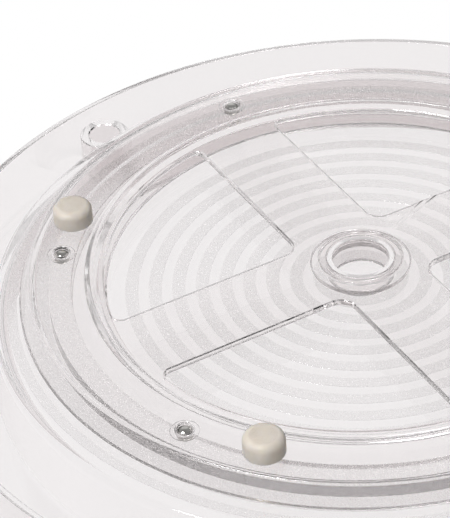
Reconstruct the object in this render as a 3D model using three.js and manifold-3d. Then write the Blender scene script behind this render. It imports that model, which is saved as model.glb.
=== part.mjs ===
// Lazy susan turntable: a clear moulded tray turning on six captive steel balls over a clear base.
// Millimetres, +Z up. The origin is on the axis of rotation, level with the undersides of the feet.
import * as THREE from 'three';
import { mergeVertices } from 'three/addons/utils/BufferGeometryUtils.js';
import Module from 'manifold-3d';

const wasm = await Module();
wasm.setup();

// ---- Driving dimensions -------------------------------------------------------------------------
const CLEARANCE = 0.3; // between separate pieces
const WALL = 2.2; // moulded wall of the tray
const ROUND_STEPS = 72; // facets round the axis of the large mouldings
const SMALL_STEPS = 20; // facets round bosses, sockets, feet and cups

// Heights above the surface that the turntable stands on.
const WEB_UNDER = 6.3;
const PLATE_UNDER = 7.5;
const CHANNEL_TOP = 13.7;
const FLOOR_UNDER = 16.0;
const FLOOR_TOP = 18.5;
const SKIRT_EDGE = 18.0;
const RIM_UNDER = 40.8;
const RIM_TOP = 42.8;

// Tray radii.
const SKIRT_RADIUS = 140; // outermost, at the lower edge of the skirt
const SKIRT_TOP_RADIUS = 138.8;
const TRAY_CORNER_RADIUS = 116.6; // outside of the dish where its wall meets its floor
const TRAY_WALL_TOP_RADIUS = 118.7;
const TRAY_FILLET = 3.2;
const RIM_ROUND = 2.5;

// Sockets for the posts of an upper tray, hanging from the rim into the hollow below it.
const SOCKET_COUNT = 3;
const SOCKET_RADIUS = 8.4;
const SOCKET_BORE = 5.2;
const SOCKET_TRACK = 127;
const SOCKET_LOWER_END = 22;
const SOCKET_AZIMUTH = 226.7;

// Base radii.
const WEB_INNER = 84.8;
const WEB_OUTER = 104;
const CHANNEL_INNER_TOP = 79.6;
const CHANNEL_OUTER_TOP = 107.8;
const CHANNEL_WALL = 1.9;
const WEB_THICKNESS = 2;
const PLATE_THICKNESS = 2.2;
const PLATE_EDGE = 84.1; // the plate runs into the channel's inner wall
const OPENING_RADIUS = 80.6;
const OPENING_CORNER = 5;
const OPENING_OUTER_CORNER = 3;
const ARM_HALF_WIDTH = 14.1;
const ARM_AZIMUTH = -30.7;
const ARM_COUNT = 4;

// Pivot at the centre: the tray's spigot, and the clip that keeps it in the base.
const SPIGOT_BORE = 8.9;
const SPIGOT_RADIUS = 10.6;
const SPIGOT_END = 7.6;
const CLIP_RADIUS = 13;
const CLIP_HEIGHT = 2;
const BOSS_RADIUS = 15.5;
const BOSS_TOP = 11.6;

// Ball bearing: each ball sits on the edge of a hole in its shallow cup, and carries the race under
// the tray.
const BALL_COUNT = 6;
const BALL_RADIUS = 2.75;
const BALL_TRACK = 94.6;
const BALL_AZIMUTH = 3.7;
const CUP_RADIUS = 4.4;
const CUP_HOLE = 2.35;
const CUP_SEAT = WEB_UNDER + 0.85;
const BALL_HEIGHT = CUP_SEAT + Math.sqrt((BALL_RADIUS + CLEARANCE) ** 2 - CUP_HOLE ** 2);
const CUP_TOP = WEB_UNDER + 2.5;
const RACE_INNER = 91;
const RACE_OUTER = 98.3;
const RACE_UNDER = BALL_HEIGHT + BALL_RADIUS + CLEARANCE;

// Feet: soft stick-on bumpers, placed by hand under the channel.
const FOOT_AZIMUTHS = [193.6, 108.1, 22.5, 296.5];
const FOOT_TRACK = 94.2;
const FOOT_RADIUS = 6.3;
const FOOT_ROUND = 3;

// ---- Materials ----------------------------------------------------------------------------------
const clearPlastic = () =>
  new THREE.MeshStandardMaterial({ color: 0xe6e2e2, roughness: 0.1, metalness: 0 });
const polishedSteel = () =>
  new THREE.MeshStandardMaterial({ color: 0x8c8a86, roughness: 0.12, metalness: 1 });
const creamSilicone = () =>
  new THREE.MeshStandardMaterial({ color: 0xd0c6b8, roughness: 0.55, metalness: 0 });

// ---- Geometry helpers ---------------------------------------------------------------------------
const radians = THREE.MathUtils.degToRad;

// A point [r, z] of a turned profile becomes a Vector2.
const profilePoint = ([r, z]) => new THREE.Vector2(r, z);

// Points of an arc in the (r, z) plane, from one angle to another, ends included.
function arc(centreR, centreZ, radius, fromDegrees, toDegrees, steps = 4) {
  const points = [];
  for (let i = 0; i <= steps; i += 1) {
    const angle = radians(fromDegrees + ((toDegrees - fromDegrees) * i) / steps);
    points.push([centreR + radius * Math.cos(angle), centreZ + radius * Math.sin(angle)]);
  }
  return points;
}

// The triangles of a merged geometry that have three different corners.
function wholeTriangles(index) {
  const kept = [];
  for (let i = 0; i < index.length; i += 3) {
    const [a, b, c] = [index[i], index[i + 1], index[i + 2]];
    if (a !== b && b !== c && c !== a) kept.push(a, b, c);
  }
  return new Uint32Array(kept);
}

// A closed geometry as a solid that can be joined and cut.
function toSolid(geometry) {
  geometry.deleteAttribute('normal');
  geometry.deleteAttribute('uv');
  const merged = mergeVertices(geometry);
  return new wasm.Manifold(
    new wasm.Mesh({
      numProp: 3,
      vertProperties: new Float32Array(merged.attributes.position.array),
      triVerts: wholeTriangles(merged.index.array),
    }),
  );
}

// A solid as a geometry.
function toGeometry(solid) {
  const mesh = solid.getMesh();
  const geometry = new THREE.BufferGeometry();
  geometry.setAttribute('position', new THREE.BufferAttribute(new Float32Array(mesh.vertProperties), 3));
  geometry.setIndex(new THREE.BufferAttribute(new Uint32Array(mesh.triVerts), 1));
  geometry.computeVertexNormals();
  return geometry;
}

// A closed profile of [r, z] points turned about the Z axis. The points run anticlockwise, with r to
// the right and z up.
function turned(profile, steps) {
  const closed = [...profile, profile[0]].map(profilePoint);
  const geometry = new THREE.LatheGeometry(closed, steps);
  geometry.rotateX(Math.PI / 2);
  return toSolid(geometry);
}

// An upright solid cylinder between two heights, centred at radius `track` and an azimuth.
function post(radius, low, high, track = 0, azimuth = 0) {
  const geometry = new THREE.CylinderGeometry(radius, radius, high - low, SMALL_STEPS);
  geometry.rotateX(Math.PI / 2);
  geometry.translate(track, 0, (low + high) / 2);
  geometry.rotateZ(radians(azimuth));
  return toSolid(geometry);
}

const joined = (solids) => solids.reduce((whole, solid) => whole.add(solid));
const cut = (solid, cutters) => cutters.reduce((rest, cutter) => rest.subtract(cutter), solid);
const azimuths = (count, first) => Array.from({ length: count }, (_, i) => first + (360 * i) / count);

// ---- Tray ---------------------------------------------------------------------------------------
// A shallow dish whose rim folds out and down into a skirt. Under its floor are a hollow spigot at the
// centre and the ring that runs on the balls.
function trayProfile() {
  const wallSlope = TRAY_WALL_TOP_RADIUS - TRAY_CORNER_RADIUS;
  const innerCorner = TRAY_CORNER_RADIUS - WALL;
  const innerTop = innerCorner + wallSlope;
  const skirtInnerTop = SKIRT_TOP_RADIUS - WALL;
  const skirtInnerEdge = SKIRT_RADIUS - WALL;
  return [
    [0, FLOOR_UNDER],
    [SPIGOT_BORE, FLOOR_UNDER],
    [SPIGOT_BORE, SPIGOT_END],
    [SPIGOT_RADIUS, SPIGOT_END],
    [SPIGOT_RADIUS, FLOOR_UNDER],
    [RACE_INNER, FLOOR_UNDER],
    [RACE_INNER, RACE_UNDER],
    [RACE_OUTER, RACE_UNDER],
    [RACE_OUTER, FLOOR_UNDER],
    ...arc(TRAY_CORNER_RADIUS - TRAY_FILLET, FLOOR_UNDER + TRAY_FILLET, TRAY_FILLET, -90, 0),
    [TRAY_WALL_TOP_RADIUS, RIM_UNDER],
    [skirtInnerTop, RIM_UNDER],
    [skirtInnerEdge, SKIRT_EDGE],
    [SKIRT_RADIUS, SKIRT_EDGE],
    ...arc(SKIRT_TOP_RADIUS - RIM_ROUND, RIM_TOP - RIM_ROUND, RIM_ROUND, 0, 90),
    ...arc(innerTop + RIM_ROUND, RIM_TOP - RIM_ROUND, RIM_ROUND, 90, 180),
    ...arc(innerCorner - TRAY_FILLET, FLOOR_TOP + TRAY_FILLET, TRAY_FILLET, 0, -90),
    [0, FLOOR_TOP],
  ];
}

function traySolid() {
  const places = azimuths(SOCKET_COUNT, SOCKET_AZIMUTH);
  const overlap = (RIM_TOP - RIM_UNDER) / 2;
  const sockets = places.map((azimuth) =>
    post(SOCKET_RADIUS, SOCKET_LOWER_END, RIM_UNDER + overlap, SOCKET_TRACK, azimuth),
  );
  const bores = places.map((azimuth) =>
    post(SOCKET_BORE, SOCKET_LOWER_END - overlap, RIM_TOP + overlap, SOCKET_TRACK, azimuth),
  );
  return cut(joined([turned(trayProfile(), ROUND_STEPS), ...sockets]), bores);
}

// ---- Base ---------------------------------------------------------------------------------------
// The ball channel: a flat web with two walls that lean apart towards the tray.
function channelProfile() {
  const webTop = WEB_UNDER + WEB_THICKNESS;
  return [
    [WEB_INNER, WEB_UNDER],
    [WEB_OUTER, WEB_UNDER],
    [CHANNEL_OUTER_TOP, CHANNEL_TOP],
    [CHANNEL_OUTER_TOP - CHANNEL_WALL, CHANNEL_TOP],
    [WEB_OUTER - CHANNEL_WALL, webTop],
    [WEB_INNER + CHANNEL_WALL, webTop],
    [CHANNEL_INNER_TOP + CHANNEL_WALL, CHANNEL_TOP],
    [CHANNEL_INNER_TOP, CHANNEL_TOP],
  ];
}

// The disc that carries the hub, recessed for the clip and bored for the spigot.
function hubPlateProfile() {
  const plateTop = PLATE_UNDER + PLATE_THICKNESS;
  const recessTop = SPIGOT_END + CLIP_HEIGHT + CLEARANCE;
  return [
    [CLIP_RADIUS + CLEARANCE, PLATE_UNDER],
    [PLATE_EDGE, PLATE_UNDER],
    [PLATE_EDGE, plateTop],
    [BOSS_RADIUS, plateTop],
    [BOSS_RADIUS, BOSS_TOP],
    [SPIGOT_RADIUS + CLEARANCE, BOSS_TOP],
    [SPIGOT_RADIUS + CLEARANCE, recessTop],
    [CLIP_RADIUS + CLEARANCE, recessTop],
  ];
}

// One of the four openings between the arms, before it is turned into place.
function openingShape() {
  const near = ARM_HALF_WIDTH;
  const inner = OPENING_CORNER;
  const outer = OPENING_OUTER_CORNER;
  const reach = Math.sqrt((OPENING_RADIUS - outer) ** 2 - (near + outer) ** 2);
  const tangent = Math.atan2(near + outer, reach);
  const shape = new THREE.Shape();
  shape.moveTo(near + inner, near);
  shape.absarc(reach, near + outer, outer, -Math.PI / 2, tangent, false);
  shape.absarc(0, 0, OPENING_RADIUS, tangent, Math.PI / 2 - tangent, false);
  shape.absarc(near + outer, reach, outer, Math.PI / 2 - tangent, Math.PI, false);
  shape.absarc(near + inner, near + inner, inner, Math.PI, 1.5 * Math.PI, false);
  return shape;
}

function openingCutter(azimuth) {
  const geometry = new THREE.ExtrudeGeometry(openingShape(), {
    depth: PLATE_THICKNESS * 2,
    bevelEnabled: false,
    curveSegments: 8,
  });
  geometry.translate(0, 0, PLATE_UNDER - PLATE_THICKNESS / 2);
  geometry.rotateZ(radians(azimuth));
  return toSolid(geometry);
}

function baseSolid() {
  const balls = azimuths(BALL_COUNT, BALL_AZIMUTH);
  const pocket = BALL_RADIUS + CLEARANCE;
  const plate = cut(
    turned(hubPlateProfile(), ROUND_STEPS),
    azimuths(ARM_COUNT, ARM_AZIMUTH).map(openingCutter),
  );
  const cups = balls.map((azimuth) => post(CUP_RADIUS, CUP_SEAT, CUP_TOP, BALL_TRACK, azimuth));
  const pockets = balls.map((azimuth) => post(pocket, CUP_SEAT, CUP_TOP + 1, BALL_TRACK, azimuth));
  const holes = balls.map((azimuth) => post(CUP_HOLE, WEB_UNDER - 1, CUP_SEAT + 1, BALL_TRACK, azimuth));
  const body = joined([turned(channelProfile(), ROUND_STEPS), plate, ...cups]);
  return cut(body, [...pockets, ...holes]);
}

// ---- Small pieces -------------------------------------------------------------------------------
// The clip pressed onto the end of the spigot, under the base's lip.
function clipSolid() {
  const inner = SPIGOT_RADIUS + CLEARANCE;
  const top = SPIGOT_END + CLIP_HEIGHT;
  const profile = [
    [inner, SPIGOT_END],
    [CLIP_RADIUS, SPIGOT_END],
    [CLIP_RADIUS, top],
    [inner, top],
  ];
  return turned(profile, ROUND_STEPS);
}

function ballGeometry() {
  return new THREE.SphereGeometry(BALL_RADIUS, 16, 8);
}

function footGeometry() {
  const top = WEB_UNDER - CLEARANCE;
  const profile = [
    [0, 0],
    ...arc(FOOT_RADIUS - FOOT_ROUND, FOOT_ROUND, FOOT_ROUND, -90, 0, 5),
    [FOOT_RADIUS, top],
    [0, top],
  ];
  const geometry = new THREE.LatheGeometry(profile.map(profilePoint), SMALL_STEPS);
  geometry.rotateX(Math.PI / 2);
  return toGeometry(toSolid(geometry));
}

// ---- Assembly -----------------------------------------------------------------------------------
const turntable = new THREE.Group();

function addPiece(name, geometry, material, track = 0, azimuth = 0, height = 0) {
  const piece = new THREE.Mesh(geometry, material);
  piece.name = name;
  piece.position.set(track * Math.cos(radians(azimuth)), track * Math.sin(radians(azimuth)), height);
  piece.rotation.z = radians(azimuth);
  turntable.add(piece);
}

addPiece('tray', toGeometry(traySolid()), clearPlastic());
addPiece('base', toGeometry(baseSolid()), clearPlastic());
addPiece('pivot_clip', toGeometry(clipSolid()), clearPlastic());
azimuths(BALL_COUNT, BALL_AZIMUTH).forEach((azimuth, i) => {
  addPiece(`ball_${i + 1}`, ballGeometry(), polishedSteel(), BALL_TRACK, azimuth, BALL_HEIGHT);
});
FOOT_AZIMUTHS.forEach((azimuth, i) => {
  addPiece(`foot_${i + 1}`, footGeometry(), creamSilicone(), FOOT_TRACK, azimuth);
});

export default turntable;
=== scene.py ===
"""Clear lazy susan turntable: the looks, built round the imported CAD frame. Metres, +Z up.

The camera looks up at the underside, rolled over, as if the turntable lay on its rim with its feet
up. The floor shows only from above, so it never hides the underside.
"""
import math

import bmesh
import bpy
from mathutils import Matrix, Vector


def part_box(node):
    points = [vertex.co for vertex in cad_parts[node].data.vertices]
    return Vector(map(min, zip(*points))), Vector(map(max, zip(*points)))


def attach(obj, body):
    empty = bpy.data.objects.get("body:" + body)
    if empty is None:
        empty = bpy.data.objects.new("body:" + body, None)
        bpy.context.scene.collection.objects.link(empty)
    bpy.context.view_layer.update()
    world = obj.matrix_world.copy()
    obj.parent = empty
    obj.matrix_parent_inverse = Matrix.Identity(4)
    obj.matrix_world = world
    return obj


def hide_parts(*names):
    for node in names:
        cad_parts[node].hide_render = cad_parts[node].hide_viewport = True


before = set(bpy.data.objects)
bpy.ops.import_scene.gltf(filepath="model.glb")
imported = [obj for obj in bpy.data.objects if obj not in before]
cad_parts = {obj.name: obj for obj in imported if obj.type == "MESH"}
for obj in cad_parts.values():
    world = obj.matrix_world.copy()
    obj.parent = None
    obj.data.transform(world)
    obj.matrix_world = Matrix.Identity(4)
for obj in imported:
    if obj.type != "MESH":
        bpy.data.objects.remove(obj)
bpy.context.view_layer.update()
MM = 0.001

# ---- Places and sizes, from the frame -----------------------------------------------------------
TRAY_LOW, TRAY_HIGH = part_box("tray")
BASE_LOW, BASE_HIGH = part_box("base")
_, CLIP_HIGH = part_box("pivot_clip")
BALL_LOW, BALL_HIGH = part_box("ball_1")
BALLS = [f"ball_{i}" for i in range(1, 7)]
FEET = [f"foot_{i}" for i in range(1, 5)]

# Heights.
WEB_UNDER = BASE_LOW.z
CHANNEL_TOP = BASE_HIGH.z
SPIGOT_END = TRAY_LOW.z
RIM_TOP = TRAY_HIGH.z
PLATE_UNDER = WEB_UNDER + 1.2 * MM
PLATE_TOP = PLATE_UNDER + 2.2 * MM
WEB_TOP = WEB_UNDER + 2.0 * MM
BOSS_TOP = 11.6 * MM
FLOOR_UNDER = 16.0 * MM
FLOOR_TOP = 18.5 * MM
SKIRT_EDGE = 18.0 * MM
RIM_UNDER = RIM_TOP - 2.0 * MM
SOCKET_END = 22.0 * MM
FOOT_TOP = WEB_UNDER - 0.02 * MM

# Radii.
SKIRT = TRAY_HIGH.x
SKIRT_TOP = SKIRT - 1.2 * MM
TRAY_CORNER = 116.6 * MM
TRAY_WALL_TOP = 118.7 * MM
WALL = 2.2 * MM
WEB_INNER = 84.8 * MM
WEB_OUTER = 104.0 * MM
CHANNEL_OUTER = BASE_HIGH.x
CHANNEL_INNER = 79.6 * MM
CHANNEL_WALL = 1.9 * MM
PLATE_EDGE = 84.1 * MM
OPENING = 80.6 * MM
ARM_HALF = 14.1 * MM
ARM_AZIMUTH = -30.7
ARM_COUNT = 4
SPIGOT_BORE = 8.9 * MM
SPIGOT = 10.6 * MM
BOSS = 15.5 * MM
CLIP = CLIP_HIGH.x
GAP = 0.3 * MM
CLIP_TOP = CLIP_HIGH.z
SOCKET = 8.4 * MM
SOCKET_BORE = 5.2 * MM
SOCKET_TRACK = 127.0 * MM
SOCKET_AZIMUTHS = [226.7 + 120 * i for i in range(3)]
BALL_RADIUS = (BALL_HIGH.z - BALL_LOW.z) / 2
BALL_HEIGHT = (BALL_HIGH.z + BALL_LOW.z) / 2
POCKET = BALL_RADIUS + GAP
CUP = 4.4 * MM
CUP_HOLE = 2.35 * MM
CUP_TOP = WEB_TOP + 0.5 * MM
CUP_SEAT = BALL_HEIGHT - math.sqrt(POCKET**2 - CUP_HOLE**2)
RACE_INNER = 91.0 * MM
RACE_OUTER = 98.3 * MM
RACE_UNDER = BALL_HEIGHT + BALL_RADIUS + GAP
FOOT_RADIUS = 6.3 * MM

# Radii that corners are rounded to.
TINY_ROUND = 0.2 * MM
CUP_ROUND = 0.25 * MM
FINE_ROUND = 0.3 * MM
CLIP_ROUND = 0.35 * MM
EDGE_ROUND = 0.4 * MM
SOFT_ROUND = 0.5 * MM
ROOT_ROUND = 0.6 * MM
RIM_UNDER_ROUND = 0.8 * MM
CHANNEL_ROUND = 1.0 * MM
TRAY_CORNER_ROUND = 1.4 * MM
SKIRT_INNER_ROUND = 1.5 * MM
FOOT_ROUND = 2.2 * MM
RIM_ROUND = 2.5 * MM
TRAY_INNER_ROUND = 3.2 * MM
OPENING_EDGE_ROUND = 0.35 * MM
OPENING_OUTER_ROUND = 3 * MM
OPENING_INNER_ROUND = 5 * MM

# Frosted bands under the tray's floor, as (inner, outer) radii, and the depth that they stand
# proud.
BAND_FIRST = 10.9 * MM
BAND_PITCH = 7.43 * MM
BAND_WIDTH = 4.1 * MM
BAND_STARTS = [BAND_FIRST + BAND_PITCH * k for k in range(9)]
FLOOR_BANDS = [(start, start + BAND_WIDTH) for start in BAND_STARTS]
OUTER_BANDS = [(98.6 * MM, 105.4 * MM), (108.6 * MM, 111.8 * MM)]
BAND_RELIEF = 0.03 * MM
# A face looks down when the height of its normal is below this.
LOOKS_DOWN = -0.9

# Steps round a full turn of each kind of turned shape, and along a rounded corner.
ROUND_STEPS = 240
CLIP_STEPS = 128
SMALL_STEPS = 64
BALL_STEPS = 48
CORNER_STEPS = 5
TRAY_CORNER_STEPS = 8
FOOT_CORNER_STEPS = 12

# How far a cutting shape reaches past the face that it cuts.
OVERSHOOT = 1 * MM
# A radius below this counts as on the axis.
ON_AXIS = 1e-9


def centre(node):
    low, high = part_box(node)
    return (low + high) / 2


def polar(place):
    """A place's distance from the turntable's axis and its azimuth in degrees."""
    return math.hypot(place.x, place.y), math.degrees(math.atan2(place.y, place.x))


# ---- Mesh helpers -------------------------------------------------------------------------------
def rounded(corners, steps=CORNER_STEPS):
    """A closed outline of (r, z, corner radius), as points with the corners rounded off."""
    outline = []
    count = len(corners)
    for i, (r, z, radius) in enumerate(corners):
        here = Vector((r, z))
        if radius == 0:
            outline.append(here)
            continue
        before = Vector(corners[i - 1][:2]) - here
        after = Vector(corners[(i + 1) % count][:2]) - here
        half = before.angle(after) / 2
        reach = radius / math.tan(half)
        middle = (before.normalized() + after.normalized()).normalized()
        hub = here + middle * (radius / math.sin(half))
        start = here + before.normalized() * reach - hub
        end = here + after.normalized() * reach - hub
        sweep = start.angle_signed(end)
        for k in range(steps + 1):
            turn = Matrix.Rotation(-sweep * k / steps, 2)
            outline.append(hub + turn @ start)
    return outline


def turned(outline, steps, offset=(0, 0)):
    """A mesh turned about a vertical axis from a closed outline of points."""
    vertices, faces, rings = [], [], []
    for point in outline:
        if point.x < ON_AXIS:
            rings.append([len(vertices)] * steps)
            vertices.append((offset[0], offset[1], point.y))
            continue
        rings.append(list(range(len(vertices), len(vertices) + steps)))
        for k in range(steps):
            angle = 2 * math.pi * k / steps
            vertices.append((
                offset[0] + point.x * math.cos(angle),
                offset[1] + point.x * math.sin(angle),
                point.y,
            ))
    for i, low in enumerate(rings):
        high = rings[(i + 1) % len(rings)]
        if low[0] == low[1] and high[0] == high[1]:
            continue
        for k in range(steps):
            j = (k + 1) % steps
            corners = [low[k], low[j], high[j], high[k]]
            faces.append(list(dict.fromkeys(corners)))
    mesh = bpy.data.meshes.new("turned")
    mesh.from_pydata(vertices, [], faces)
    return mesh


def turned_at(corners, steps, track=0.0, azimuth=0.0, corner_steps=CORNER_STEPS):
    """A turned solid from corners of (r, z, corner radius), at a track radius and azimuth."""
    angle = math.radians(azimuth)
    place = (track * math.cos(angle), track * math.sin(angle))
    return turned(rounded(corners, corner_steps), steps, place)


def opening_outline(grow, steps=10):
    """Outline of the opening between two arms, grown outwards by an amount, before it is turned."""
    near = ARM_HALF - grow
    inner_round = OPENING_INNER_ROUND + grow
    outer_round = OPENING_OUTER_ROUND + grow
    outer_edge = OPENING + grow
    reach = math.sqrt((outer_edge - outer_round) ** 2 - (near + outer_round) ** 2)
    tangent = math.atan2(near + outer_round, reach)
    quarter = math.pi / 2
    arcs = [
        ((reach, near + outer_round), outer_round, -quarter, tangent, steps),
        ((0, 0), outer_edge, tangent, quarter - tangent, 6 * steps),
        ((near + outer_round, reach), outer_round, quarter - tangent, math.pi, steps),
        ((near + inner_round, near + inner_round), inner_round, math.pi, 3 * quarter, steps),
    ]
    points = []
    for (x, y), radius, start, end, count in arcs:
        for k in range(count + 1):
            angle = start + (end - start) * k / count
            points.append((x + radius * math.cos(angle), y + radius * math.sin(angle)))
    return points


def opening_cutter(azimuth, edge=OPENING_EDGE_ROUND, steps=3):
    """A cutter for one opening, flared at both faces so that the cut's edges come out rounded."""
    levels = [(PLATE_UNDER - OVERSHOOT, edge)]
    quarter = [math.pi / 2 * k / steps for k in range(steps + 1)]
    levels += [(PLATE_UNDER + edge * math.sin(a), edge * (1 - math.sin(a))) for a in quarter]
    levels += [(PLATE_TOP - edge * math.cos(a), edge * (1 - math.cos(a))) for a in quarter]
    levels.append((PLATE_TOP + OVERSHOOT, edge))
    turn = Matrix.Rotation(math.radians(azimuth), 2)
    rows = [[(*(turn @ Vector(p)), z) for p in opening_outline(grow)] for z, grow in levels]
    count = len(rows[0])
    vertices = [v for row in rows for v in row]
    faces = [list(range(count))[::-1], list(range(count * (len(rows) - 1), count * len(rows)))]
    for low in range(0, count * (len(rows) - 1), count):
        high = low + count
        for k in range(count):
            j = (k + 1) % count
            faces.append([low + k, low + j, high + j, high + k])
    mesh = bpy.data.meshes.new("opening")
    mesh.from_pydata(vertices, [], faces)
    return mesh


def new_object(name, mesh):
    piece = bpy.data.objects.new(name, mesh)
    bpy.context.scene.collection.objects.link(piece)
    return piece


def outward(mesh):
    """Turns every face of a closed mesh to face out."""
    work = bmesh.new()
    work.from_mesh(mesh)
    bmesh.ops.remove_doubles(work, verts=work.verts, dist=1e-7)
    bmesh.ops.recalc_face_normals(work, faces=work.faces)
    work.to_mesh(mesh)
    work.free()
    return mesh


def combined(name, meshes):
    """Several closed meshes that don't touch each other, as one object."""
    work = bmesh.new()
    for mesh in meshes:
        work.from_mesh(outward(mesh))
    mesh = bpy.data.meshes.new(name)
    work.to_mesh(mesh)
    work.free()
    return new_object(name, mesh)


def boolean(piece, operation, tool):
    """Joins a tool object to a piece, or cuts the piece with it, and removes the tool."""
    step = piece.modifiers.new(operation, "BOOLEAN")
    step.operation = operation
    step.solver = "EXACT"
    step.object = tool
    apply_modifiers(piece)
    bpy.data.objects.remove(tool)


def apply_modifiers(piece):
    graph = bpy.context.evaluated_depsgraph_get()
    mesh = bpy.data.meshes.new_from_object(piece.evaluated_get(graph))
    piece.modifiers.clear()
    piece.data = mesh


def smooth(piece, sharp_degrees=35):
    """Smooth shading that keeps flat faces flat and hard edges hard."""
    mesh = piece.data
    mesh.polygons.foreach_set("use_smooth", [True] * len(mesh.polygons))
    mesh.set_sharp_from_angle(angle=math.radians(sharp_degrees))
    step = piece.modifiers.new("normals", "WEIGHTED_NORMAL")
    step.mode = "FACE_AREA"
    step.weight = 100
    step.keep_sharp = True
    apply_modifiers(piece)


def finish_piece(piece, body, nodes, materials, index_at=None):
    """Gives a piece its materials, body, replaced nodes and material slot. index_at says which of
    the materials a face has, from its centre and normal."""
    mesh = piece.data
    mesh.materials.clear()
    for material in materials:
        mesh.materials.append(material)
    if index_at:
        for face in mesh.polygons:
            face.material_index = index_at(face.center, face.normal)
    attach(piece, body)
    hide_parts(*nodes)


# ---- Materials ----------------------------------------------------------------------------------
IOR_PLASTIC = 1.49
IOR_SILICONE = 1.41


def new_material(name):
    """A material, its node tree and its Principled shader."""
    material = bpy.data.materials.new(name)
    material.use_nodes = True
    tree = material.node_tree
    shader = tree.nodes["Principled BSDF"]
    return material, tree, shader


def noise(tree, scale, detail, stretch=(1, 1, 1)):
    """Noise over the object's own coordinates, in features per metre."""
    place = tree.nodes.new("ShaderNodeTexCoord")
    mapping = tree.nodes.new("ShaderNodeMapping")
    mapping.inputs["Scale"].default_value = stretch
    texture = tree.nodes.new("ShaderNodeTexNoise")
    texture.inputs["Scale"].default_value = scale
    texture.inputs["Detail"].default_value = detail
    tree.links.new(place.outputs["Object"], mapping.inputs["Vector"])
    tree.links.new(mapping.outputs["Vector"], texture.inputs["Vector"])
    return texture.outputs["Fac"]


def spread(tree, value, low, high, from_low=0.3, from_high=0.7):
    """A value mapped from one range to another. The default range is where noise mostly lies."""
    node = tree.nodes.new("ShaderNodeMapRange")
    node.inputs["From Min"].default_value = from_low
    node.inputs["From Max"].default_value = from_high
    node.inputs["To Min"].default_value = low
    node.inputs["To Max"].default_value = high
    tree.links.new(value, node.inputs["Value"])
    return node.outputs["Result"]


def bump(tree, shader, height, distance, strength):
    node = tree.nodes.new("ShaderNodeBump")
    node.inputs["Distance"].default_value = distance
    node.inputs["Strength"].default_value = strength
    tree.links.new(height, node.inputs["Height"])
    tree.links.new(node.outputs["Normal"], shader.inputs["Normal"])


def two_tone(tree, shader, first, second, scale, detail):
    """A base colour that drifts between two colours."""
    mix = tree.nodes.new("ShaderNodeMix")
    mix.data_type = "RGBA"
    mix.inputs["A"].default_value = (*first, 1)
    mix.inputs["B"].default_value = (*second, 1)
    tree.links.new(spread(tree, noise(tree, scale, detail), 0, 1), mix.inputs["Factor"])
    tree.links.new(mix.outputs["Result"], shader.inputs["Base Color"])


def clear_plastic(name, tint):
    """Polished clear moulding: faint flow waviness and a little haze that varies over the part."""
    material, tree, shader = new_material(name)
    shader.inputs["Base Color"].default_value = (*tint, 1)
    shader.inputs["Transmission Weight"].default_value = 1.0
    shader.inputs["IOR"].default_value = IOR_PLASTIC
    haze = spread(tree, noise(tree, scale=60, detail=4), low=0.0, high=0.06)
    tree.links.new(haze, shader.inputs["Roughness"])
    bump(tree, shader, noise(tree, scale=90, detail=2), distance=0.006 * MM, strength=0.3)
    return material


def frosted_plastic(name, tint):
    """The etched bands: a fine spark-eroded grain that scatters what is seen through it."""
    material, tree, shader = new_material(name)
    shader.inputs["Base Color"].default_value = (*tint, 1)
    shader.inputs["Transmission Weight"].default_value = 0.95
    shader.inputs["IOR"].default_value = IOR_PLASTIC
    grain = noise(tree, scale=2200, detail=2)
    tree.links.new(spread(tree, grain, low=0.2, high=0.38), shader.inputs["Roughness"])
    bump(tree, shader, grain, distance=0.03 * MM, strength=0.8)
    return material


def polished_steel():
    """Bearing steel: mirror finish with fine running marks and slight oil staining."""
    material, tree, shader = new_material("polished_steel")
    shader.inputs["Metallic"].default_value = 1.0
    two_tone(tree, shader, (0.42, 0.41, 0.39), (0.60, 0.59, 0.57), scale=500, detail=4)
    scuffs = spread(tree, noise(tree, scale=1500, detail=3), low=0.06, high=0.2)
    tree.links.new(scuffs, shader.inputs["Roughness"])
    running_marks = noise(tree, scale=3000, detail=2, stretch=(1, 1, 8))
    bump(tree, shader, running_marks, distance=0.004 * MM, strength=0.5)
    return material


def cream_silicone():
    """Soft translucent bumper: light goes some way in, with a satin skin and a little dust."""
    material, tree, shader = new_material("cream_silicone")
    shader.inputs["Transmission Weight"].default_value = 0.3
    shader.inputs["Subsurface Weight"].default_value = 0.7
    shader.inputs["Subsurface Radius"].default_value = (1.0, 0.85, 0.6)
    shader.inputs["Subsurface Scale"].default_value = 4 * MM
    shader.inputs["IOR"].default_value = IOR_SILICONE
    two_tone(tree, shader, (0.70, 0.655, 0.60), (0.77, 0.73, 0.675), scale=400, detail=5)
    satin = spread(tree, noise(tree, scale=900, detail=4), low=0.3, high=0.5)
    tree.links.new(satin, shader.inputs["Roughness"])
    bump(tree, shader, noise(tree, scale=1200, detail=4), distance=0.03 * MM, strength=0.5)
    return material


TRAY_CLEAR = clear_plastic("tray_plastic", (0.89, 0.866, 0.868))
TRAY_FROSTED = frosted_plastic("frosted_plastic", (0.79, 0.765, 0.767))
RACE_FROSTED = frosted_plastic("race_plastic", (0.87, 0.838, 0.840))
BASE_CLEAR = clear_plastic("base_plastic", (1.0, 0.988, 0.988))
STEEL = polished_steel()
SILICONE = cream_silicone()


# ---- Pieces -------------------------------------------------------------------------------------
def band_corners(bands):
    """Corners along the underside of the floor, where each band stands proud."""
    low = FLOOR_UNDER - BAND_RELIEF
    corners = []
    for inner, outer in bands:
        corners += [
            (inner, FLOOR_UNDER, 0),
            (inner + BAND_RELIEF, low, 0),
            (outer - BAND_RELIEF, low, 0),
            (outer, FLOOR_UNDER, 0),
        ]
    return corners


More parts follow.
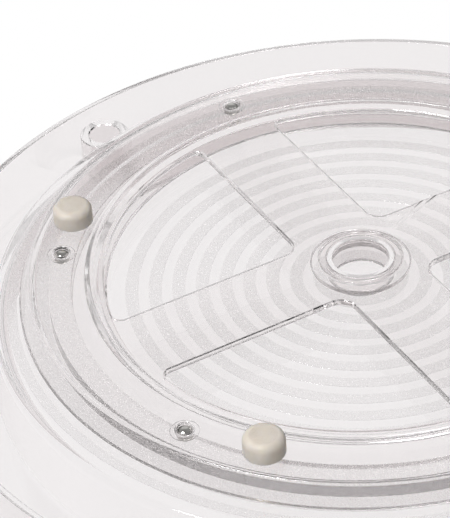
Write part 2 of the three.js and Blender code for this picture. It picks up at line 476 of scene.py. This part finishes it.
def tray_corners():
    inner_corner = TRAY_CORNER - WALL
    inner_top = TRAY_WALL_TOP - WALL
    return [
        (0, FLOOR_UNDER, 0),
        (SPIGOT_BORE, FLOOR_UNDER, SOFT_ROUND),
        (SPIGOT_BORE, SPIGOT_END, FINE_ROUND),
        (SPIGOT, SPIGOT_END, EDGE_ROUND),
        (SPIGOT, FLOOR_UNDER, 0),
        *band_corners(FLOOR_BANDS),
        (RACE_INNER, FLOOR_UNDER, TINY_ROUND),
        (RACE_INNER, RACE_UNDER, EDGE_ROUND),
        (RACE_OUTER, RACE_UNDER, EDGE_ROUND),
        (RACE_OUTER, FLOOR_UNDER, TINY_ROUND),
        *band_corners(OUTER_BANDS),
        (TRAY_CORNER, FLOOR_UNDER, TRAY_CORNER_ROUND),
        (TRAY_WALL_TOP, RIM_UNDER, RIM_UNDER_ROUND),
        (SKIRT_TOP - WALL, RIM_UNDER, SKIRT_INNER_ROUND),
        (SKIRT - WALL, SKIRT_EDGE, SOFT_ROUND),
        (SKIRT, SKIRT_EDGE, SOFT_ROUND),
        (SKIRT_TOP, RIM_TOP, RIM_ROUND),
        (inner_top, RIM_TOP, RIM_ROUND),
        (inner_corner, FLOOR_TOP, TRAY_INNER_ROUND),
        (0, FLOOR_TOP, 0),
    ]


def tray_finish(point, normal):
    """A tray face's material: 0 clear, 1 on a frosted band, 2 where it runs on the balls."""
    if normal.z > LOOKS_DOWN:
        return 0
    radius = math.hypot(point.x, point.y)
    if abs(point.z - RACE_UNDER) < BAND_RELIEF and RACE_INNER < radius < RACE_OUTER:
        return 2
    at_floor = abs(point.z - FLOOR_UNDER) < 2 * BAND_RELIEF
    on_band = any(inner < radius < outer for inner, outer in FLOOR_BANDS + OUTER_BANDS)
    return 1 if at_floor and on_band else 0


def make_tray():
    outline = rounded(tray_corners(), TRAY_CORNER_STEPS)
    tray = new_object("tray_clear", outward(turned(outline, ROUND_STEPS)))
    flare = EDGE_ROUND
    socket = [
        (0, SOCKET_END, 0),
        (SOCKET, SOCKET_END, EDGE_ROUND),
        (SOCKET, RIM_UNDER + OVERSHOOT, 0),
        (0, RIM_UNDER + OVERSHOOT, 0),
    ]
    bore = [
        (0, SOCKET_END - OVERSHOOT, 0),
        (SOCKET_BORE + 2 * flare, SOCKET_END - OVERSHOOT, 0),
        (SOCKET_BORE + flare, SOCKET_END, 0),
        (SOCKET_BORE, SOCKET_END + flare, 0),
        (SOCKET_BORE, RIM_TOP - flare, 0),
        (SOCKET_BORE + flare, RIM_TOP, 0),
        (SOCKET_BORE + 2 * flare, RIM_TOP + OVERSHOOT, 0),
        (0, RIM_TOP + OVERSHOOT, 0),
    ]
    for operation, shape in (("UNION", socket), ("DIFFERENCE", bore)):
        tools = [turned_at(shape, SMALL_STEPS, SOCKET_TRACK, a) for a in SOCKET_AZIMUTHS]
        boolean(tray, operation, combined("tool", tools))
    smooth(tray)
    materials = [TRAY_CLEAR, TRAY_FROSTED, RACE_FROSTED]
    finish_piece(tray, "tray", ["tray"], materials, tray_finish)


def channel_corners():
    return [
        (WEB_INNER, WEB_UNDER, CHANNEL_ROUND),
        (WEB_OUTER, WEB_UNDER, CHANNEL_ROUND),
        (CHANNEL_OUTER, CHANNEL_TOP, EDGE_ROUND),
        (CHANNEL_OUTER - CHANNEL_WALL, CHANNEL_TOP, EDGE_ROUND),
        (WEB_OUTER - CHANNEL_WALL, WEB_TOP, CHANNEL_ROUND),
        (WEB_INNER + CHANNEL_WALL, WEB_TOP, CHANNEL_ROUND),
        (CHANNEL_INNER + CHANNEL_WALL, CHANNEL_TOP, EDGE_ROUND),
        (CHANNEL_INNER, CHANNEL_TOP, EDGE_ROUND),
    ]


def plate_corners():
    recess_top = CLIP_TOP + GAP
    return [
        (CLIP + GAP, PLATE_UNDER, FINE_ROUND),
        (PLATE_EDGE, PLATE_UNDER, 0),
        (PLATE_EDGE, PLATE_TOP, 0),
        (BOSS, PLATE_TOP, ROOT_ROUND),
        (BOSS, BOSS_TOP, FINE_ROUND),
        (SPIGOT + GAP, BOSS_TOP, FINE_ROUND),
        (SPIGOT + GAP, recess_top, FINE_ROUND),
        (CLIP + GAP, recess_top, FINE_ROUND),
    ]


def make_base():
    base = new_object("base_clear", outward(turned_at(plate_corners(), ROUND_STEPS)))
    openings = [opening_cutter(ARM_AZIMUTH + 360 / ARM_COUNT * k) for k in range(ARM_COUNT)]
    boolean(base, "DIFFERENCE", combined("tool", openings))
    boolean(base, "UNION", combined("tool", [turned_at(channel_corners(), ROUND_STEPS)]))
    cup = [
        (0, CUP_SEAT, 0),
        (CUP, CUP_SEAT, 0),
        (CUP, CUP_TOP, CUP_ROUND),
        (0, CUP_TOP, 0),
    ]
    pocket = [
        (0, CUP_SEAT, 0),
        (POCKET, CUP_SEAT, ROOT_ROUND),
        (POCKET, CUP_TOP + OVERSHOOT, 0),
        (0, CUP_TOP + OVERSHOOT, 0),
    ]
    hole = [
        (0, WEB_UNDER - OVERSHOOT, 0),
        (CUP_HOLE + 2 * CUP_ROUND, WEB_UNDER - OVERSHOOT, 0),
        (CUP_HOLE + CUP_ROUND, WEB_UNDER, 0),
        (CUP_HOLE, WEB_UNDER + CUP_ROUND, 0),
        (CUP_HOLE, CUP_SEAT + OVERSHOOT, 0),
        (0, CUP_SEAT + OVERSHOOT, 0),
    ]
    places = [centre(ball) for ball in BALLS]
    for operation, shape in (("UNION", cup), ("DIFFERENCE", pocket), ("DIFFERENCE", hole)):
        tools = [turned_at(shape, SMALL_STEPS, *polar(place)) for place in places]
        boolean(base, operation, combined("tool", tools))
    smooth(base)
    finish_piece(base, "base", ["base"], [BASE_CLEAR])


def make_clip():
    corners = [
        (SPIGOT + GAP, SPIGOT_END, CLIP_ROUND),
        (CLIP, SPIGOT_END, CLIP_ROUND),
        (CLIP, CLIP_TOP, CLIP_ROUND),
        (SPIGOT + GAP, CLIP_TOP, CLIP_ROUND),
    ]
    clip = new_object("pivot_clip_clear", outward(turned_at(corners, CLIP_STEPS)))
    smooth(clip)
    finish_piece(clip, "tray", ["pivot_clip"], [BASE_CLEAR])


def make_ball(node):
    place = centre(node)
    outline = []
    half_turn = BALL_STEPS // 2
    for k in range(half_turn + 1):
        angle = math.pi * (k / half_turn - 0.5)
        height = place.z + BALL_RADIUS * math.sin(angle)
        outline.append(Vector((BALL_RADIUS * math.cos(angle), height)))
    outline[0].x = outline[-1].x = 0
    ball = new_object(f"{node}_steel", outward(turned(outline, BALL_STEPS, (place.x, place.y))))
    smooth(ball, sharp_degrees=60)
    finish_piece(ball, node, [node], [STEEL])


def make_foot(node):
    corners = [
        (0, 0, 0),
        (FOOT_RADIUS, 0, FOOT_ROUND),
        (FOOT_RADIUS, FOOT_TOP, TINY_ROUND),
        (0, FOOT_TOP, 0),
    ]
    mesh = turned_at(corners, SMALL_STEPS, *polar(centre(node)), FOOT_CORNER_STEPS)
    foot = new_object(f"{node}_silicone", outward(mesh))
    smooth(foot, sharp_degrees=60)
    finish_piece(foot, "base", [node], [SILICONE])


# ---- Stage, light and camera --------------------------------------------------------------------
FLOOR_HALF = 2.5
FLOOR_COLOUR = (0.86, 0.86, 0.86, 1)
FLOOR_ROUGHNESS = 0.8


def make_floor():
    """A pale floor under the feet that shows from above and is see-through from below."""
    half = FLOOR_HALF
    corners = [(-half, -half, 0), (half, -half, 0), (half, half, 0), (-half, half, 0)]
    mesh = bpy.data.meshes.new("floor")
    mesh.from_pydata(corners, [], [[0, 1, 2, 3]])
    floor = new_object("floor", mesh)
    material, tree, shader = new_material("pale_floor")
    shader.inputs["Base Color"].default_value = FLOOR_COLOUR
    shader.inputs["Roughness"].default_value = FLOOR_ROUGHNESS
    side = tree.nodes.new("ShaderNodeNewGeometry")
    clear = tree.nodes.new("ShaderNodeBsdfTransparent")
    mix = tree.nodes.new("ShaderNodeMixShader")
    tree.links.new(side.outputs["Backfacing"], mix.inputs["Fac"])
    tree.links.new(shader.outputs["BSDF"], mix.inputs[1])
    tree.links.new(clear.outputs["BSDF"], mix.inputs[2])
    tree.links.new(mix.outputs["Shader"], tree.nodes["Material Output"].inputs["Surface"])
    mesh.materials.append(material)
    floor.visible_glossy = False
    floor.visible_shadow = False


# Brightness of the studio by the direction looked in, as (sine of elevation, brightness).
STUDIO = [(-1.0, 0.42), (-0.4, 0.42), (-0.1, 0.6), (0.1, 0.85), (0.35, 1.0), (1.0, 1.0)]
# A white card where the flat undersides mirror it to the camera. It fades in between two cosines of
# the angle to its direction.
CARD_DIRECTION = (-0.05, -0.786, -0.616)
CARD_FADE = (0.86, 0.94)
CARD_BRIGHTNESS = 0.9
# The studio is dimmer behind the camera. It fades between two values of a direction's Y.
BACK_FADE = (-0.1, 0.5)
BACK_BRIGHTNESS = 0.7


def studio_ramp(tree, height):
    """The studio's brightness for a height from -1 to 1."""
    ramp = tree.nodes.new("ShaderNodeValToRGB")
    stops = ramp.color_ramp.elements
    while len(stops) < len(STUDIO):
        stops.new(0.5)
    for stop, (sine, light) in zip(stops, STUDIO):
        stop.position = (sine + 1) / 2
        stop.color = (light, light, light, 1)
    tree.links.new(spread(tree, height, 0, 1, -1, 1), ramp.inputs["Fac"])
    return ramp.outputs["Color"]


def make_world():
    world = bpy.data.worlds.new("studio")
    bpy.context.scene.world = world
    world.use_nodes = True
    tree = world.node_tree
    place = tree.nodes.new("ShaderNodeTexCoord")
    split = tree.nodes.new("ShaderNodeSeparateXYZ")
    facing = tree.nodes.new("ShaderNodeVectorMath")
    facing.operation = "DOT_PRODUCT"
    facing.inputs[1].default_value = CARD_DIRECTION
    card = tree.nodes.new("ShaderNodeMix")
    card.data_type = "RGBA"
    card.inputs["B"].default_value = (CARD_BRIGHTNESS, CARD_BRIGHTNESS, CARD_BRIGHTNESS, 1)
    tree.links.new(place.outputs["Generated"], split.inputs["Vector"])
    tree.links.new(place.outputs["Generated"], facing.inputs[0])
    on_card = spread(tree, facing.outputs["Value"], 0, 1, *CARD_FADE)
    tree.links.new(on_card, card.inputs["Factor"])
    tree.links.new(studio_ramp(tree, split.outputs["Z"]), card.inputs["A"])
    background = tree.nodes["Background"]
    tree.links.new(card.outputs["Result"], background.inputs["Color"])
    strength = spread(tree, split.outputs["Y"], 1, BACK_BRIGHTNESS, *BACK_FADE)
    tree.links.new(strength, background.inputs["Strength"])


CAMERA_PLACE = Vector((-0.0023, 0.6134, -0.4744))
CAMERA_ELEVATION = 38.05
CAMERA_PAN = -3.74
CAMERA_ROLL = -4.17
CAMERA_LENS = 173.2
CAMERA_SENSOR = 36


def make_camera():
    elevation = math.radians(CAMERA_ELEVATION)
    pan = math.radians(CAMERA_PAN)
    roll = math.radians(CAMERA_ROLL)
    level = math.cos(elevation)
    forward = Vector((math.sin(pan) * level, -math.cos(pan) * level, math.sin(elevation)))
    right = Vector((math.cos(pan), math.sin(pan), 0))
    up = right.cross(forward)
    turned_right = right * math.cos(roll) + up * math.sin(roll)
    turned_up = up * math.cos(roll) - right * math.sin(roll)
    data = bpy.data.cameras.new("camera")
    data.lens = CAMERA_LENS
    data.sensor_width = CAMERA_SENSOR
    camera = bpy.data.objects.new("camera", data)
    bpy.context.scene.collection.objects.link(camera)
    turn = Matrix((turned_right, turned_up, -forward)).transposed().to_4x4()
    camera.matrix_world = Matrix.Translation(CAMERA_PLACE) @ turn
    bpy.context.scene.camera = camera


# Square soft boxes, aimed at the middle of the turntable: name, place, and power in watts.
LIGHTS = [("key", (0.3, 0.1, 1.6), 5), ("underside_key", (-0.5, 0.5, -0.9), 11)]
LIGHT_SIZE = 0.5
LIGHT_AIM = Vector((0, 0, 0.02))


def make_light(name, place, power):
    data = bpy.data.lights.new(name, "AREA")
    data.size = LIGHT_SIZE
    data.energy = power
    light = bpy.data.objects.new(name, data)
    light.location = place
    light.rotation_euler = (LIGHT_AIM - Vector(place)).to_track_quat("-Z", "Y").to_euler()
    bpy.context.scene.collection.objects.link(light)


# Light is led many times round inside the clear walls, and would come out black with fewer bounces.
INSIDE_BOUNCES = 40
SEE_THROUGH_BOUNCES = 16


def set_up_render():
    scene = bpy.context.scene
    scene.view_settings.view_transform = "Standard"
    scene.cycles.max_bounces = INSIDE_BOUNCES
    scene.cycles.transmission_bounces = INSIDE_BOUNCES
    scene.cycles.glossy_bounces = INSIDE_BOUNCES
    scene.cycles.transparent_max_bounces = SEE_THROUGH_BOUNCES


set_up_render()
make_tray()
make_base()
make_clip()
for ball_node in BALLS:
    make_ball(ball_node)
for foot_node in FEET:
    make_foot(foot_node)
make_floor()
make_world()
make_camera()
for light_name, light_place, light_power in LIGHTS:
    make_light(light_name, light_place, light_power)
